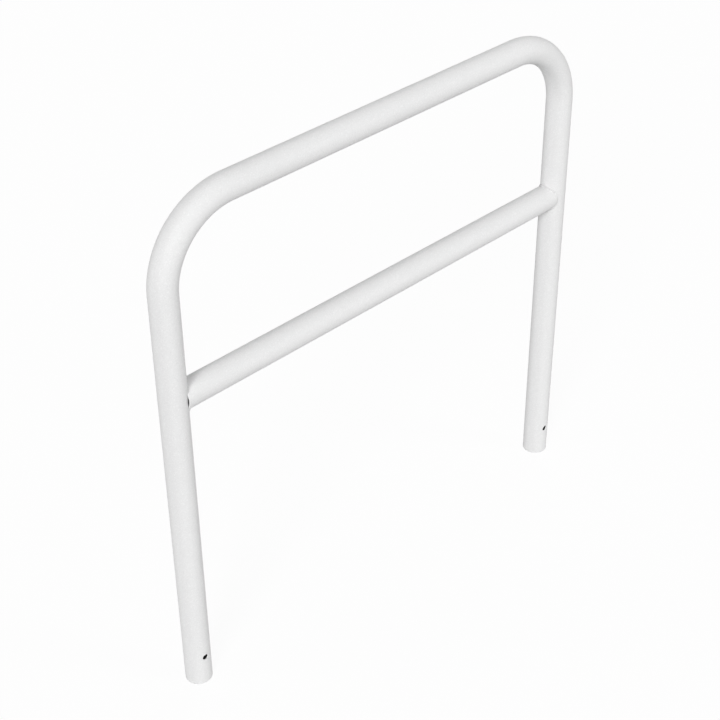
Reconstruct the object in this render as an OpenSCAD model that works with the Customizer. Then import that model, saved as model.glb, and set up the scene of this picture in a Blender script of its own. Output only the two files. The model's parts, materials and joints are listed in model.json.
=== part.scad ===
// Hoop barrier: one bent steel tube with a welded middle rail, for setting in the ground.
// Millimetres. X runs along the hoop, Y through it from front to back, Z up.
// The origin lies on the floor, midway between the two legs.

/* [Hoop] */
// Distance between the axes of the two legs
leg_spacing = 1150; // [700:10:2000]
// Height from the foot of the legs to the top of the hoop
overall_h = 1200; // [1100:10:1600]
// Outer diameter of the tube that the hoop is bent from
hoop_tube_d = 60.3; // [48.3:0.1:76.1]
// Wall of the hoop's tube
hoop_wall = 2.9; // [2:0.1:5]
// Radius of each bend, at the axis of the tube
bend_r = 167; // [120:1:250]
// Broken edge round the foot of each leg
foot_edge = 0.6; // [0.2:0.1:1]

/* [Middle rail] */
// Height of the rail's axis above the foot of the legs
rail_h = 760; // [300:10:850]
// Outer diameter of the rail's tube
rail_tube_d = 60.3; // [48.3:0.1:60.3]
// Wall of the rail's tube
rail_wall = 2.9; // [2:0.1:5]
// Distance from a leg's axis to the square cut that blunts the two tips of the cope
tip_cut = 18; // [12:0.5:24]
// Root gap between the coped end and the leg
root_gap = 0.3; // [0.1:0.1:1]

/* [Anchor holes] */
// Diameter of the cross hole in each leg, for an anchor rod
anchor_d = 14; // [10:0.5:18]
// Height of the anchor holes above the foot of the legs
anchor_h = 75; // [30:1:200]

/* [Welds] */
// Length of the weld's leg on each tube
weld_leg = 3; // [2.5:0.1:5]
// How far the middle of the bead is drawn in from a full round
weld_draw_in = 0.6; // [0.3:0.1:1]
// Height of the ripples on the bead
ripple_h = 0.15; // [0:0.05:0.3]
// Distance from one ripple to the next
ripple_pitch = 3; // [2:0.1:5]
// Length at each end of the cope that the bead stops short of
weld_stop = 2; // [1:0.5:5]
// Clearance between the bead's facets and the tubes
weld_clear = 0.1; // [0.1:0.05:0.3]

/* [Hidden] */
$fn = 96;

hoop_r = hoop_tube_d / 2;
rail_r = rail_tube_d / 2;
leg_x = leg_spacing / 2;
top_axis_h = overall_h - hoop_r;
leg_straight_h = top_axis_h - bend_r;
top_straight_l = leg_spacing - 2 * bend_r;
// What a cutter runs on past the face that it cuts
overrun = 5;
coat = [0.93, 0.93, 0.92];

// Where the cope meets the square cut, as an angle round the rail from its front
cope_half_y = sqrt(pow(hoop_r + root_gap, 2) - pow(tip_cut, 2));
cope_start = acos(min(1, cope_half_y / rail_r));
weld_start = cope_start + weld_stop / rail_r * 180 / PI;
weld_sweep = 180 - 2 * weld_start;

// The bead is a row of sections, four to a ripple, each of a root point and a rounded face
ripples = ceil(weld_sweep * PI / 180 * rail_r / ripple_pitch);
weld_steps = 4 * ripples;
face_steps = 5;
// Share of the full size that the bead's section keeps at its two ends
end_share = 0.35;

function unit(v) = v / norm(v);

// In a joint's own axes the leg stands on Z at the origin and the rail runs out along +X.
function leg_normal(y) = [sqrt(pow(hoop_r, 2) - pow(y, 2)), y, 0] / hoop_r;
function rail_normal(turn) = [0, cos(turn), sin(turn)];
// Line where the two tubes' outer surfaces meet
function saddle(turn) =
    let (y = rail_r * cos(turn))
    [sqrt(pow(hoop_r, 2) - pow(y, 2)), y, rail_r * sin(turn)];

// Direction turned by a share of the way from one unit vector to another
function between(a, b, share) =
    let (whole = acos(a * b))
    (a * sin((1 - share) * whole) + b * sin(share * whole)) / sin(whole);

// The bead swells from its ends over one leg length, and ripples along its run
function swell(step) =
    let (from_end = min(step, weld_steps - step) / weld_steps * weld_sweep * PI / 180 * rail_r)
    end_share + (1 - end_share) * sin(90 * min(1, from_end / weld_leg));
function ripple(step) = ripple_h * cos(90 * step);

function weld_section(step) =
    let (
        turn = weld_start + weld_sweep * step / weld_steps,
        root = saddle(turn),
        n_leg = leg_normal(root[1]),
        n_rail = rail_normal(turn),
        up_leg = unit(n_rail - (n_rail * n_leg) * n_leg),
        along_rail = unit(n_leg - (n_leg * n_rail) * n_rail),
        lift = weld_clear * (n_leg + n_rail)
    )
    concat(
        [root + lift],
        [for (k = [0 : face_steps])
            let (
                share = k / face_steps,
                bulge = sin(180 * share),
                reach = swell(step) * (weld_leg + bulge * (ripple(step) - weld_draw_in))
            )
            root + lift + reach * between(up_leg, along_rail, share)]
    );

// Solid swept through a list of sections that all have the same number of points
module sweep(sections) {
    count = len(sections[0]);
    last = len(sections) - 1;
    sides = [
        for (i = [0 : last - 1], j = [0 : count - 1])
            let (next = (j + 1) % count)
            each [
                [i * count + j, i * count + next, (i + 1) * count + j],
                [i * count + next, (i + 1) * count + next, (i + 1) * count + j],
            ]
    ];
    near_end = [for (j = [1 : count - 2]) [0, j + 1, j]];
    far_end = [for (j = [1 : count - 2]) [last * count, last * count + j, last * count + j + 1]];
    polyhedron(points = [for (s = sections) each s], faces = concat(sides, near_end, far_end));
}

// Ring of the tube's wall, drawn flat
module wall_ring(r, wall) {
    difference() {
        circle(r);
        circle(r - wall);
    }
}

// Straight tube standing on its foot, with the foot's two edges broken
module leg() {
    rotate_extrude()
        polygon([
            [hoop_r - hoop_wall + foot_edge, 0],
            [hoop_r - foot_edge, 0],
            [hoop_r, foot_edge],
            [hoop_r, leg_straight_h],
            [hoop_r - hoop_wall, leg_straight_h],
            [hoop_r - hoop_wall, foot_edge],
        ]);
}

// Quarter bend that carries on from the top of the right leg towards the middle
module bend() {
    translate([leg_x - bend_r, 0, leg_straight_h])
        rotate([90, 0, 0])
            rotate_extrude(angle = 90)
                translate([bend_r, 0])
                    wall_ring(hoop_r, hoop_wall);
}

module hoop_tube() {
    color(coat)
        difference() {
            union() {
                for (side = [0, 1])
                    mirror([side, 0, 0]) {
                        translate([leg_x, 0, 0])
                            leg();
                        bend();
                    }
                translate([-top_straight_l / 2, 0, top_axis_h])
                    rotate([0, 90, 0])
                        linear_extrude(top_straight_l)
                            wall_ring(hoop_r, hoop_wall);
            }
            for (x = [-leg_x, leg_x])
                translate([x, hoop_r + overrun, anchor_h])
                    rotate([90, 0, 0])
                        cylinder(h = hoop_tube_d + 2 * overrun, d = anchor_d);
        }
}

module mid_rail() {
    color(coat)
        difference() {
            translate([-leg_x + tip_cut, 0, rail_h])
                rotate([0, 90, 0])
                    linear_extrude(leg_spacing - 2 * tip_cut)
                        wall_ring(rail_r, rail_wall);
            for (x = [-leg_x, leg_x])
                translate([x, 0, rail_h - rail_r - overrun])
                    cylinder(h = rail_tube_d + 2 * overrun, r = hoop_r + root_gap);
        }
}

// Weld bead on one lobe of the cope: side 1 is the right leg, and lobe 1 is the lower one
module weld(side, lobe) {
    color(coat)
        mirror([side, 0, 0])
            translate([-leg_x, 0, rail_h])
                mirror([0, 0, lobe])
                    sweep([for (step = [0 : weld_steps]) weld_section(step)]);
}

module left_upper_weld() { weld(0, 0); }
module left_lower_weld() { weld(0, 1); }
module right_upper_weld() { weld(1, 0); }
module right_lower_weld() { weld(1, 1); }

hoop_tube();
mid_rail();
left_upper_weld();
left_lower_weld();
right_upper_weld();
right_lower_weld();
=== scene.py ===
"""Looks of the hoop barrier: fine tube and weld meshes over the solids, their finishes, and a studio."""
import json
import math
import random

import bmesh
import bpy
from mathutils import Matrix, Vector


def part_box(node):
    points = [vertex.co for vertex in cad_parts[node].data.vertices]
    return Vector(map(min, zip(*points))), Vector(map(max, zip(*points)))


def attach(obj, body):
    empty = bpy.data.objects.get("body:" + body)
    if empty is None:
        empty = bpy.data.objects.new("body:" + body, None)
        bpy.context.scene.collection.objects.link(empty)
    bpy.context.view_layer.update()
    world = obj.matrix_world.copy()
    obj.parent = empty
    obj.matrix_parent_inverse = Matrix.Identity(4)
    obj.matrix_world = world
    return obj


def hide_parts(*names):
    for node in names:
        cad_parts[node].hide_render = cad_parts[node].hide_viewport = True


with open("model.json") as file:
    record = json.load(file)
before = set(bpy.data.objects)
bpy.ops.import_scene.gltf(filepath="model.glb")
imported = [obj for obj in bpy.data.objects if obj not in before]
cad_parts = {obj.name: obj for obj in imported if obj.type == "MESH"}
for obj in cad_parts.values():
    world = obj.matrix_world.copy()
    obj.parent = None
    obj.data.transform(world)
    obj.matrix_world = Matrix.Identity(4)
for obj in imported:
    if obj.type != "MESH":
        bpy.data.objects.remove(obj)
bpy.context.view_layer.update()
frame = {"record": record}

MM = 0.001

# Sizes of the steel, as in the solids
TUBE_R = 30.15 * MM
TUBE_WALL = 2.9 * MM
BORE_R = TUBE_R - TUBE_WALL
BEND_R = 167 * MM
ROOT_GAP = 0.3 * MM
COPE_R = TUBE_R + ROOT_GAP

# Places of the steel, read from the solids and from the mount of an anchor hole
HOOP_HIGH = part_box("hoop_tube")[1]
RAIL_LOW, RAIL_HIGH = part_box("mid_rail")
MOUNTS = {mount["name"]: mount for mount in frame["record"]["mounts"]}
HOLE = MOUNTS["left_anchor_hole"]
LEG_X = HOOP_HIGH[0] - TUBE_R
TOP_Z = HOOP_HIGH[2] - TUBE_R
BEND_Z = TOP_Z - BEND_R
RAIL_Z = (RAIL_LOW[2] + RAIL_HIGH[2]) / 2
TIP_CUT = LEG_X - RAIL_HIGH[0]
HOLE_R = HOLE["dims"]["r_mm"] * MM
HOLE_Z = HOLE["pos_m"][2]

# Radii of the rounded edges: the feet, the anchor holes outside and inside, and the ends of the rail
FOOT_EDGE = 0.6 * MM
HOLE_EDGE = 0.9 * MM
BORE_EDGE = 0.3 * MM
TIP_EDGE = 0.5 * MM

# Fineness of the meshes: columns round a tube, and rows along it and over its edges
AROUND = 96
ROW_STEP = 40 * MM
FOOT_ROW_Z = 5 * MM
FOOT_ROW_STEP = 12 * MM
BEND_ROWS = 36
EDGE_ROWS = 4
BORE_EDGE_ROWS = 2
# Share of a row that a run may be longer by, through rounding, without an extra row
ROUNDING_SLACK = 1e-9

# An anchor hole lies in a square patch of the grid, which reaches this many cells out from its middle
HOLE_CELLS = 6
HOLE_RINGS = 4
PATCH_REACH = HOLE_CELLS * TUBE_R * 2 * math.pi / AROUND
FRONT_COLUMN = AROUND * 3 // 4
BACK_COLUMN = AROUND // 4

# The rail's rows that follow the cope, in from its edge, and how far from the leg's axis the others start
COPE_ROWS = [0 * MM, 1 * MM, 3 * MM, 7 * MM, 14 * MM]
STRAIGHT_FROM = 60 * MM

# Places of the two finishes on a tube
COAT, BARE = 0, 1


def spread(start, end, step):
    """Evenly spaced values from start to end, no further apart than step, without the last one."""
    count = max(1, math.ceil(abs(end - start) / step - ROUNDING_SLACK))
    return [start + (end - start) * k / count for k in range(count)]


def quarter(rows):
    """Angles over a quarter turn, both ends included."""
    return [math.pi / 2 * k / rows for k in range(rows + 1)]


def rounded(edge, rows):
    """(Depth under the surface, distance from the end) of each step over a rounded edge."""
    return [(edge * (1 - math.cos(turn)), edge * (1 - math.sin(turn))) for turn in quarter(rows)]


class Skin:
    """Points and faces of one piece, laid down row by row."""

    def __init__(self):
        self.points = []
        self.faces = []
        self.finishes = []

    def row(self, points):
        """Adds points and gives back their numbers."""
        first = len(self.points)
        self.points.extend(points)
        return list(range(first, len(self.points)))

    def face(self, corners, finish=COAT):
        self.faces.append(corners)
        self.finishes.append(finish)

    def strip(self, row, after, finish=COAT, skip=()):
        """Faces between two closed rows of the same count, apart from the columns in skip."""
        count = len(row)
        for k in range(count):
            if k not in skip:
                n = (k + 1) % count
                self.face((row[k], row[n], after[n], after[k]), finish)

    def strips(self, rows, finish=COAT):
        """Faces from each row to the next."""
        for row, after in zip(rows, rows[1:]):
            self.strip(row, after, finish)

    def cap(self, row):
        """Closes a row with faces to its middle."""
        middle = sum((Vector(self.points[k]) for k in row), Vector()) / len(row)
        hub = self.row([tuple(middle)])[0]
        for k in range(len(row)):
            self.face((row[k], row[(k + 1) % len(row)], hub))

    def piece(self, name, finishes, node):
        """Makes the Blender object that stands for a CAD node."""
        mesh = bpy.data.meshes.new(name)
        mesh.from_pydata(self.points, [], self.faces)
        for finish in finishes:
            mesh.materials.append(finish)
        mesh.polygons.foreach_set("material_index", self.finishes)
        mesh.polygons.foreach_set("use_smooth", [True] * len(self.faces))
        made = bpy.data.objects.new(name, mesh)
        bpy.context.scene.collection.objects.link(made)
        face_outwards(made)
        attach(made, "root")
        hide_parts(node)


def face_outwards(made):
    """Turns all faces outwards, and drops the grid points that the holes leave without a face."""
    work = bmesh.new()
    work.from_mesh(made.data)
    bmesh.ops.delete(work, geom=[point for point in work.verts if not point.link_faces], context="VERTS")
    bmesh.ops.recalc_face_normals(work, faces=work.faces)
    work.to_mesh(made.data)
    work.free()


# The hoop: up the left leg, over both bends and down the right leg

def leg_heights():
    """Heights of a leg's rows, evenly close over the patch of its anchor hole."""
    heights = [FOOT_EDGE]
    heights += spread(FOOT_ROW_Z, HOLE_Z - PATCH_REACH, FOOT_ROW_STEP)
    heights += spread(HOLE_Z - PATCH_REACH, HOLE_Z + PATCH_REACH, PATCH_REACH / HOLE_CELLS)
    heights += spread(HOLE_Z + PATCH_REACH, BEND_Z, ROW_STEP)
    return heights


def hoop_line():
    """(centre, outward direction) of each row, and the first and last row of each leg's patch."""
    heights = leg_heights()
    left = [(Vector((-LEG_X, 0, z)), Vector((-1, 0, 0))) for z in heights]
    bend_middle = Vector((-LEG_X + BEND_R, 0, BEND_Z))
    for turn in quarter(BEND_ROWS):
        out = Vector((-math.cos(turn), 0, math.sin(turn)))
        left.append((bend_middle + BEND_R * out, out))
    top_places = spread(-LEG_X + BEND_R, LEG_X - BEND_R, ROW_STEP)[1:]
    top = [(Vector((x, 0, TOP_Z)), Vector((0, 0, 1))) for x in top_places]
    right = [(Vector((-at.x, 0, at.z)), Vector((-out.x, 0, out.z))) for at, out in reversed(left)]
    line = left + top + right

    first = heights.index(HOLE_Z - PATCH_REACH)
    last = first + 2 * HOLE_CELLS
    end = len(line) - 1
    return line, [(first, last), (end - last, end - first)]


def tube_row(skin, at, out, radius):
    """A round row of the hoop. Its columns start on the outside of the bends and turn towards the back."""
    back = Vector((0, 1, 0))
    points = []
    for k in range(AROUND):
        turn = 2 * math.pi * k / AROUND
        points.append(tuple(at + radius * (math.cos(turn) * out + math.sin(turn) * back)))
    return skin.row(points)


def patch_border(rows, first, last, columns):
    """The points round a rectangle of the grid, in order."""
    left, right = columns
    border = [rows[first][c] for c in range(left, right)]
    border += [rows[r][right] for r in range(first, last)]
    border += [rows[last][c] for c in range(right, left, -1)]
    border += [rows[r][left] for r in range(last, first, -1)]
    return border


def hole_wall(skin, leg_x, side, outer_border, inner_border):
    """Runs the outer skin into an anchor hole and on to the inner skin. side is -1 in front, 1 behind."""

    def offsets(border):
        """Where a border's points lie, seen from the middle of the hole."""
        return [(skin.points[k][0] - leg_x, skin.points[k][2] - HOLE_Z) for k in border]

    def on_leg(dx, dz, surface_r, depth):
        """The point at an offset from the hole's middle, that deep under a surface of the leg."""
        y = math.sqrt(surface_r ** 2 - dx ** 2) - depth
        return leg_x + dx, side * y, HOLE_Z + dz

    angles = [math.atan2(dz, dx) for dx, dz in offsets(outer_border)]

    def ring(radius, surface_r, depth):
        """A round row of the hole."""
        return skin.row([
            on_leg(radius * math.cos(angle), radius * math.sin(angle), surface_r, depth)
            for angle in angles
        ])

    def run_in(border, surface_r, hole_r):
        """Rows from the square border towards the round edge of the hole."""
        rows = [border]
        around = offsets(border)
        for step in range(1, HOLE_RINGS):
            share = step / HOLE_RINGS
            points = []
            for (dx, dz), angle in zip(around, angles):
                x = dx + (hole_r * math.cos(angle) - dx) * share
                z = dz + (hole_r * math.sin(angle) - dz) * share
                points.append(on_leg(x, z, surface_r, 0))
            rows.append(skin.row(points))
        return rows

    outside = run_in(outer_border, TUBE_R, HOLE_R + HOLE_EDGE)
    for depth, off in rounded(HOLE_EDGE, EDGE_ROWS):
        outside.append(ring(HOLE_R + off, TUBE_R, depth))
    inside = []
    for depth, off in reversed(rounded(BORE_EDGE, BORE_EDGE_ROWS)):
        inside.append(ring(HOLE_R + off, BORE_R, -depth))
    inside += reversed(run_in(inner_border, BORE_R, HOLE_R + BORE_EDGE))
    skin.strips([*outside, inside[0]])
    skin.strips(inside, BARE)


def foot_rows(skin, at, out):
    """Rows round the foot of a leg, from the outer skin to the inner."""
    edge = rounded(FOOT_EDGE, EDGE_ROWS)[1:]
    rows = [tube_row(skin, Vector((at.x, 0, z)), out, TUBE_R - depth) for depth, z in edge]
    rows += [tube_row(skin, Vector((at.x, 0, z)), out, BORE_R + depth) for depth, z in reversed(edge)]
    return rows


def make_hoop(coat, bare):
    skin = Skin()
    line, patches = hoop_line()
    outer = [tube_row(skin, at, out, TUBE_R) for at, out in line]
    inner = [tube_row(skin, at, out, BORE_R) for at, out in line]
    patch_columns = [(middle - HOLE_CELLS, middle + HOLE_CELLS) for middle in (FRONT_COLUMN, BACK_COLUMN)]
    left_open = {k for left, right in patch_columns for k in range(left, right)}
    for k in range(len(line) - 1):
        skip = left_open if any(first <= k < last for first, last in patches) else ()
        skin.strip(outer[k], outer[k + 1], COAT, skip)
        skin.strip(inner[k], inner[k + 1], BARE, skip)
    for (first, last), leg_x in zip(patches, (-LEG_X, LEG_X)):
        for columns, side in zip(patch_columns, (-1, 1)):
            borders = [patch_border(rows, first, last, columns) for rows in (outer, inner)]
            hole_wall(skin, leg_x, side, *borders)
    for end in (0, -1):
        skin.strips([outer[end], *foot_rows(skin, *line[end]), inner[end]])
    skin.piece("hoop_tube_skin", [coat, bare], "hoop_tube")


# The rail: its ends follow the leg's round, apart from the two tips, which are cut square

def cope_corner(radius):
    """Angle round the rail, from its back, where the cope meets the square cut."""
    return math.acos(math.sqrt(COPE_R ** 2 - TIP_CUT ** 2) / radius)


def cope(radius, turn):
    """How far the rail's end lies from the leg's axis, at an angle round the rail from its back."""
    y = radius * math.cos(turn)
    return max(TIP_CUT, math.sqrt(max(0.0, COPE_R ** 2 - y ** 2)))


def rail_turns(radius):
    """Column angles round the rail, with a column on each corner of the cope."""
    corner = cope_corner(radius)
    marks = [-corner, corner, math.pi - corner, math.pi + corner, 2 * math.pi - corner]
    turns = []
    for start, end in zip(marks, marks[1:]):
        turns += spread(start, end, (end - start) / (AROUND // 4))
    return turns


def rail_point(x, radius, turn):
    return x, radius * math.cos(turn), RAIL_Z + radius * math.sin(turn)


def coped_row(skin, surface_r, radius, side, off):
    """A row that far in from the coped end of a surface. side is -1 at the left leg and 1 at the right."""
    points = []
    for turn in rail_turns(surface_r):
        x = side * (LEG_X - cope(surface_r, turn) - off)
        points.append(rail_point(x, radius, turn))
    return skin.row(points)


def rail_wall(skin, radius):
    """All rows of the rail's outer or inner surface, from the left end to the right."""
    straight_x = LEG_X - STRAIGHT_FROM
    straight = [*spread(-straight_x, straight_x, ROW_STEP), straight_x]
    rows = [coped_row(skin, radius, radius, -1, TIP_EDGE + off) for off in COPE_ROWS]
    for x in straight:
        rows.append(skin.row([rail_point(x, radius, turn) for turn in rail_turns(radius)]))
    rows += [coped_row(skin, radius, radius, 1, TIP_EDGE + off) for off in reversed(COPE_ROWS)]
    return rows


def make_rail(coat, bare):
    skin = Skin()
    outer = rail_wall(skin, TUBE_R)
    inner = rail_wall(skin, BORE_R)
    skin.strips(outer)
    skin.strips(inner, BARE)
    edge = rounded(TIP_EDGE, EDGE_ROWS)[1:]
    for end, side in ((0, -1), (-1, 1)):
        rim = [outer[end]]
        rim += [coped_row(skin, TUBE_R, TUBE_R - depth, side, off) for depth, off in edge]
        rim += [coped_row(skin, BORE_R, BORE_R + depth, side, off) for depth, off in reversed(edge)]
        rim.append(inner[end])
        skin.strips(rim)
    skin.piece("mid_rail_skin", [coat, bare], "mid_rail")


# The weld beads lie in the corner between the leg and each lobe of the rail's cope

WELD_LEG = 3.0 * MM
WELD_DRAW_IN = 0.6 * MM
WELD_STOP = 2.0 * MM
WELD_START = cope_corner(TUBE_R) + WELD_STOP / TUBE_R
WELD_SWEEP = math.pi - 2 * WELD_START
WELD_LENGTH = WELD_SWEEP * TUBE_R
END_SHARE = 0.35

# Ripples differ in height and width, and their middles lag behind by a share of a ripple
RIPPLE_H = 0.15 * MM
RIPPLE_PITCH = 3.0 * MM
RIPPLE_LAG = 0.12
HEIGHT_SHARES = (0.6, 1.2)
WIDTH_SHARES = (0.95, 1.05)

# Rows along the bead, faces over it, and how deep its toes and its root lie in the tubes
RIPPLES = math.ceil(WELD_LENGTH / RIPPLE_PITCH)
RIPPLE_ROWS = 6
BEAD_ROWS = RIPPLES * RIPPLE_ROWS
BEAD_FACES = 10
TOE_SINK = 0.12 * MM
ROOT_SINK = 0.4 * MM

# Each bead by its CAD node: -1 at the left leg and 1 at the right, and 1 above the rail and -1 below
WELDS = [
    ("left_upper_weld", -1, 1),
    ("left_lower_weld", -1, -1),
    ("right_upper_weld", 1, 1),
    ("right_lower_weld", 1, -1),
]


def between(first, second, share):
    """Direction turned by a share of the way from one unit vector to another."""
    whole = first.angle(second)
    return (first * math.sin((1 - share) * whole) + second * math.sin(share * whole)) / math.sin(whole)


def along(draws, row):
    """Value at a row of the bead, between the draws of the two ripples beside it."""
    at, part = divmod(row, RIPPLE_ROWS)
    part /= RIPPLE_ROWS
    after = min(at + 1, RIPPLES)
    return draws[at] * (1 - part) + draws[after] * part


def swell(row):
    """Share of its full size that the bead has at a row. It grows over one weld leg from either end."""
    from_end = min(row, BEAD_ROWS - row) / BEAD_ROWS * WELD_LENGTH
    return END_SHARE + (1 - END_SHARE) * math.sin(math.pi / 2 * min(1, from_end / WELD_LEG))


def bead_section(row, height, width):
    """The bead's section: points from the leg's toe over to the rail's, and one in the root.

    The leg's axis is Z, and the rail runs out from it along X.
    """
    turn = WELD_START + WELD_SWEEP * row / BEAD_ROWS
    y = TUBE_R * math.cos(turn)
    root = Vector((math.sqrt(TUBE_R ** 2 - y ** 2), y, TUBE_R * math.sin(turn)))
    off_leg = Vector((root.x, y, 0)) / TUBE_R
    off_rail = Vector((0, math.cos(turn), math.sin(turn)))
    up_leg = (off_rail - off_rail.dot(off_leg) * off_leg).normalized()
    along_rail = (off_leg - off_leg.dot(off_rail) * off_rail).normalized()

    size = swell(row) * width
    part = row % RIPPLE_ROWS / RIPPLE_ROWS
    points = []
    for k in range(BEAD_FACES + 1):
        share = k / BEAD_FACES
        bulge = math.sin(math.pi * share)
        wave = height * math.cos(2 * math.pi * (part + RIPPLE_LAG * bulge))
        reach = size * (WELD_LEG + bulge * (wave - WELD_DRAW_IN))
        lift = TOE_SINK * (2 * bulge - 1)
        points.append(root + reach * between(up_leg, along_rail, share) + lift * (off_leg + off_rail) / 2)
    points.append(root - ROOT_SINK * (off_leg + off_rail))
    return points


def make_weld(name, side, lobe, finish, seed):
    draw = random.Random(seed)
    heights = [RIPPLE_H * draw.uniform(*HEIGHT_SHARES) for _ in range(RIPPLES + 1)]
    widths = [draw.uniform(*WIDTH_SHARES) for _ in range(RIPPLES + 1)]
    skin = Skin()
    rows = []
    for row in range(BEAD_ROWS + 1):
        section = bead_section(row, along(heights, row), along(widths, row))
        rows.append(skin.row([(side * (LEG_X - p.x), p.y, RAIL_Z + lobe * p.z) for p in section]))
    skin.strips(rows)
    skin.cap(rows[0])
    skin.cap(rows[-1])
    skin.piece(name + "_bead", [finish], name)


# Finishes

# Sockets of a Mix node for colours, which go by number because several share a name
MIX_SHARE, MIX_FIRST, MIX_SECOND = 0, 6, 7
MIX_COLOUR = 2


def grey(level):
    return (level, level, level, 1)


class Value:
    """A socket of a finish that takes part in plain arithmetic."""

    def __init__(self, finish, socket):
        self.finish = finish
        self.socket = socket

    def __add__(self, other):
        return self.finish.maths("ADD", self, other)

    def __radd__(self, other):
        return self.finish.maths("ADD", other, self)

    def __mul__(self, other):
        return self.finish.maths("MULTIPLY", self, other)

    def __rmul__(self, other):
        return self.finish.maths("MULTIPLY", other, self)


class Finish:
    """A material, or the sky, written as values and the nodes that they need."""

    def __init__(self, name, kind="Material"):
        kinds = {"Material": bpy.data.materials, "World": bpy.data.worlds}
        self.made = kinds[kind].new(name)
        self.made.use_nodes = True
        self.kind = kind
        self.tree = self.made.node_tree
        self.tree.nodes.clear()

    def node(self, kind, settings=None, inputs=None, output=0):
        """Adds a node, sets it up, feeds its inputs and gives back one of its outputs."""
        made = self.tree.nodes.new(kind)
        for name, value in (settings or {}).items():
            if name == "stops":
                self.set_stops(made.color_ramp, value)
            else:
                setattr(made, name, value)
        for name, value in (inputs or {}).items():
            if isinstance(value, Value):
                self.tree.links.new(value.socket, made.inputs[name])
            else:
                made.inputs[name].default_value = value
        return None if output is None else Value(self, made.outputs[output])

    @staticmethod
    def set_stops(ramp, stops):
        while len(ramp.elements) < len(stops):
            ramp.elements.new(1)
        for element, (place, level) in zip(ramp.elements, stops):
            element.position = place
            element.color = grey(level)

    def maths(self, operation, first, second):
        return self.node("ShaderNodeMath", {"operation": operation}, {0: first, 1: second})

    def place(self):
        """Place on the object, in metres."""
        return self.node("ShaderNodeTexCoord", output="Object")

    def noise(self, size, detail, rough=0.5):
        """Smooth noise from 0 to 1 whose features are about that size, in metres."""
        inputs = {"Vector": self.place(), "Scale": 1 / size, "Detail": detail, "Roughness": rough}
        return self.node("ShaderNodeTexNoise", inputs=inputs)

    def ramp(self, value, stops):
        """The value taken through a ramp of (place, level) stops."""
        return self.node("ShaderNodeValToRGB", {"stops": stops}, {"Fac": value})

    def blend(self, mask, first, second):
        """Colour that goes from first to second with the mask."""
        inputs = {MIX_SHARE: mask, MIX_FIRST: first, MIX_SECOND: second}
        return self.node("ShaderNodeMix", {"data_type": "RGBA"}, inputs, MIX_COLOUR)

    def bump(self, height, depth, strength, under=None):
        """Relief of that depth in metres, on top of another one if under is given."""
        inputs = {"Height": height, "Distance": depth, "Strength": strength}
        if under:
            inputs["Normal"] = under
        return self.node("ShaderNodeBump", inputs=inputs)

    def seen(self):
        """1 for what the camera, a gloss or a glass sees, and 0 for the light that falls on the object."""
        camera, gloss, glass = [
            self.node("ShaderNodeLightPath", output=f"Is {ray} Ray")
            for ray in ("Camera", "Glossy", "Transmission")
        ]
        return self.maths("MAXIMUM", self.maths("MAXIMUM", camera, gloss), glass)

    def mixed(self, share, first, second):
        """Two shaders mixed, with that share of the second."""
        return self.node("ShaderNodeMixShader", inputs={0: share, 1: first, 2: second})

    def surface(self, **inputs):
        """Ends the finish in one plain surface, whose inputs are named with _ for a space."""
        named = {name.replace("_", " "): value for name, value in inputs.items()}
        self.end(self.node("ShaderNodeBsdfPrincipled", inputs=named))

    def end(self, shader):
        self.node(f"ShaderNodeOutput{self.kind}", inputs={"Surface": shader}, output=None)


# Tones run from 0, black, to 1, white. Each SHIFT is a step away from the coat's own tone
COAT_TONE = 0.825
# The welds' tone is darker than the coat's only as painted shade, for the shade in the corners where the rail
# meets the legs
WELD_TONE_WITH_PAINTED_SHADE = 0.73
CLOUD_SIZE = 160 * MM
CLOUD_SHIFT = 0.015
MOTTLE_SIZE = 9 * MM
MOTTLE_SHIFT = 0.04
MOTTLE_SHARE = 0.5
PALE_SPECK_SIZE = 3.0 * MM
PALE_SPECK_SHARE = 0.6
DARK_SPECK_SIZE = 2.4 * MM
DARK_SPECK_SHARE = 0.55
SPECK_SHIFT = 0.08

# Stops of the ramps that turn smooth noise into a mottle and into specks
MOTTLE_STOPS = [(0.3, 0), (0.7, 1)]
PALE_SPECK_STOPS = [(0.56, 0), (0.70, 1)]
DARK_SPECK_STOPS = [(0.30, 1), (0.42, 0)]

# Relief of the coat: slow waves in the film, and the pebble, which lies tighter and flatter over a weld
WAVE_SIZE = 14 * MM
WAVE_DEPTH = 0.25 * MM
WAVE_STRENGTH = 0.5
COAT_PEBBLE_SIZE = 2.4 * MM
COAT_PEBBLE_DEPTH = 0.09 * MM
WELD_PEBBLE_SIZE = 1.8 * MM
WELD_PEBBLE_DEPTH = 0.05 * MM
PEBBLE_STRENGTH = 0.8

# Gloss of the coat and of the bare steel. The mottle makes both duller
COAT_ROUGHNESS = 0.56
COAT_MOTTLE_ROUGHNESS = 0.10
STEEL_ROUGHNESS = 0.6
STEEL_MOTTLE_ROUGHNESS = 0.2
SHINE = 0.3

# Tones of the mill scale, and its relief
SCALE_DARK = 0.045
SCALE_PALE = 0.080
SCALE_SIZE = 9 * MM
SCALE_DEPTH = 0.15 * MM
SCALE_STRENGTH = 0.5


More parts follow.
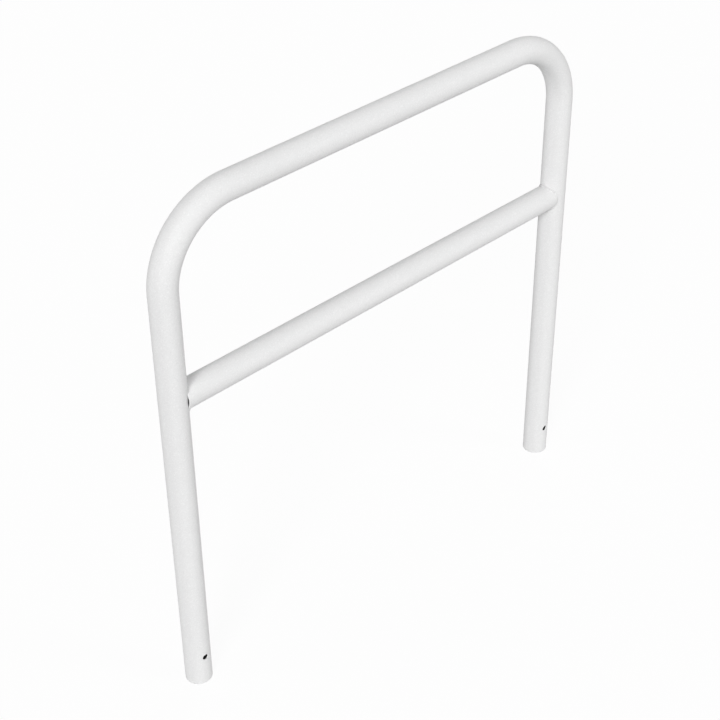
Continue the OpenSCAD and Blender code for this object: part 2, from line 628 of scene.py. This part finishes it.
def white_coat(name, tone, pebble_size, pebble_depth):
    """White powder coat: a fine pebbled skin, faintly mottled, with pale and dark specks."""
    finish = Finish(name)
    cloud = finish.noise(CLOUD_SIZE, detail=3)
    mottle = finish.ramp(finish.noise(MOTTLE_SIZE, detail=2, rough=0.6), MOTTLE_STOPS)
    pale = finish.ramp(finish.noise(PALE_SPECK_SIZE, detail=1), PALE_SPECK_STOPS)
    dark = finish.ramp(finish.noise(DARK_SPECK_SIZE, detail=1), DARK_SPECK_STOPS)
    colour = finish.blend(cloud, grey(tone - CLOUD_SHIFT), grey(tone + CLOUD_SHIFT))
    colour = finish.blend(MOTTLE_SHARE * mottle, colour, grey(tone - MOTTLE_SHIFT))
    colour = finish.blend(PALE_SPECK_SHARE * pale, colour, grey(tone + SPECK_SHIFT))
    colour = finish.blend(DARK_SPECK_SHARE * dark, colour, grey(tone - SPECK_SHIFT))
    wave = finish.bump(finish.noise(WAVE_SIZE, detail=1), WAVE_DEPTH, WAVE_STRENGTH)
    pebble = finish.noise(pebble_size, detail=2)
    finish.surface(
        Base_Color=colour,
        Roughness=COAT_ROUGHNESS + COAT_MOTTLE_ROUGHNESS * mottle,
        Specular_IOR_Level=SHINE,
        Normal=finish.bump(pebble, pebble_depth, PEBBLE_STRENGTH, under=wave),
    )
    return finish.made


def bare_bore():
    """Uncoated steel inside the tubes: dark mill scale, dull and mottled."""
    finish = Finish("bare_bore")
    mottle = finish.ramp(finish.noise(SCALE_SIZE, detail=4, rough=0.6), MOTTLE_STOPS)
    finish.surface(
        Base_Color=finish.blend(mottle, grey(SCALE_DARK), grey(SCALE_PALE)),
        Roughness=STEEL_ROUGHNESS + STEEL_MOTTLE_ROUGHNESS * mottle,
        Specular_IOR_Level=SHINE,
        Normal=finish.bump(mottle, SCALE_DEPTH, SCALE_STRENGTH),
    )
    return finish.made


# The studio: soft lamps far away, most of the light from the camera's side, and a white floor and sky

# Half of the floor's width in metres, and how far it lies under the feet
FLOOR_HALF = 30
FLOOR_DROP = 0.2 * MM
# Share of the floor that takes light and shadow, and its tones as seen and as it lights the object
FLOOR_SHARE_LIT = 0.06
FLOOR_SEEN = 0.98
FLOOR_GIVES_BACK = 0.55
SKY_LIGHT = 0.24

# Each lamp's bearing, which turns from +X towards +Y, its height and width, all in degrees, and its strength
LAMPS = [
    ("key", 210, 28, 20, 2.07),
    ("right_fill", 300, 12, 20, 1.10),
    ("left_fill", 150, 28, 20, 0.26),
    ("high_back", 22, 55, 32, 0.36),
    ("low_back", 45, 10, 40, 0.25),
]
# How far off they stand, in metres. The light of such a lamp doesn't depend on it
LAMP_DISTANCE = 3

# The camera's place in metres and its turn in degrees, fitted to the photo, with a lens on a full frame in mm
CAMERA_PLACE = (-2.0260, -2.0088, 2.5906)
CAMERA_TURN = (54.658, 0.445, -44.618)
LENS = 78.573
SENSOR = 36


def make_floor():
    finish = Finish("studio_floor")
    seen = finish.seen()
    tone = finish.blend(seen, grey(FLOOR_GIVES_BACK), grey(FLOOR_SEEN))
    lit = finish.node("ShaderNodeBsdfDiffuse", inputs={"Color": tone})
    plain = finish.node("ShaderNodeEmission", inputs={"Color": grey(1), "Strength": 1})
    finish.end(finish.mixed((1 - FLOOR_SHARE_LIT) * seen, lit, plain))
    mesh = bpy.data.meshes.new("studio_floor")
    corners = [(-1, -1), (1, -1), (1, 1), (-1, 1)]
    points = [(FLOOR_HALF * x, FLOOR_HALF * y, -FLOOR_DROP) for x, y in corners]
    mesh.from_pydata(points, [], [(0, 1, 2, 3)])
    mesh.materials.append(finish.made)
    floor = bpy.data.objects.new("studio_floor", mesh)
    bpy.context.scene.collection.objects.link(floor)


def make_sky():
    finish = Finish("studio_sky", "World")
    light = finish.node("ShaderNodeBackground", inputs={"Color": grey(1), "Strength": SKY_LIGHT})
    plain = finish.node("ShaderNodeBackground", inputs={"Color": grey(1), "Strength": 1})
    finish.end(finish.mixed(finish.seen(), light, plain))
    bpy.context.scene.world = finish.made


def make_lamp(name, bearing, height, width, strength):
    """A soft lamp that shines on the object from far away."""
    turn = math.radians(bearing)
    rise = math.radians(height)
    towards = Vector((math.cos(rise) * math.cos(turn), math.cos(rise) * math.sin(turn), math.sin(rise)))
    lamp = bpy.data.lights.new(name, "SUN")
    lamp.angle = math.radians(width)
    lamp.energy = strength
    made = bpy.data.objects.new(name, lamp)
    bpy.context.scene.collection.objects.link(made)
    made.location = LAMP_DISTANCE * towards
    made.rotation_euler = towards.to_track_quat("Z", "Y").to_euler()


def make_camera():
    lens = bpy.data.cameras.new("camera")
    lens.sensor_width = SENSOR
    lens.lens = LENS
    camera = bpy.data.objects.new("camera", lens)
    bpy.context.scene.collection.objects.link(camera)
    camera.location = CAMERA_PLACE
    camera.rotation_euler = [math.radians(turn) for turn in CAMERA_TURN]
    bpy.context.scene.camera = camera


tube_coat = white_coat("powder_coat", COAT_TONE, COAT_PEBBLE_SIZE, COAT_PEBBLE_DEPTH)
# The weld coat's darker tone is painted shade of the corners at the joints
weld_coat = white_coat("weld_coat", WELD_TONE_WITH_PAINTED_SHADE, WELD_PEBBLE_SIZE, WELD_PEBBLE_DEPTH)
tube_bore = bare_bore()
make_hoop(tube_coat, tube_bore)
make_rail(tube_coat, tube_bore)
for seed, (name, side, lobe) in enumerate(WELDS):
    make_weld(name, side, lobe, weld_coat, seed)

make_floor()
make_sky()
for lamp in LAMPS:
    make_lamp(*lamp)
make_camera()
bpy.context.scene.view_settings.view_transform = "Standard"
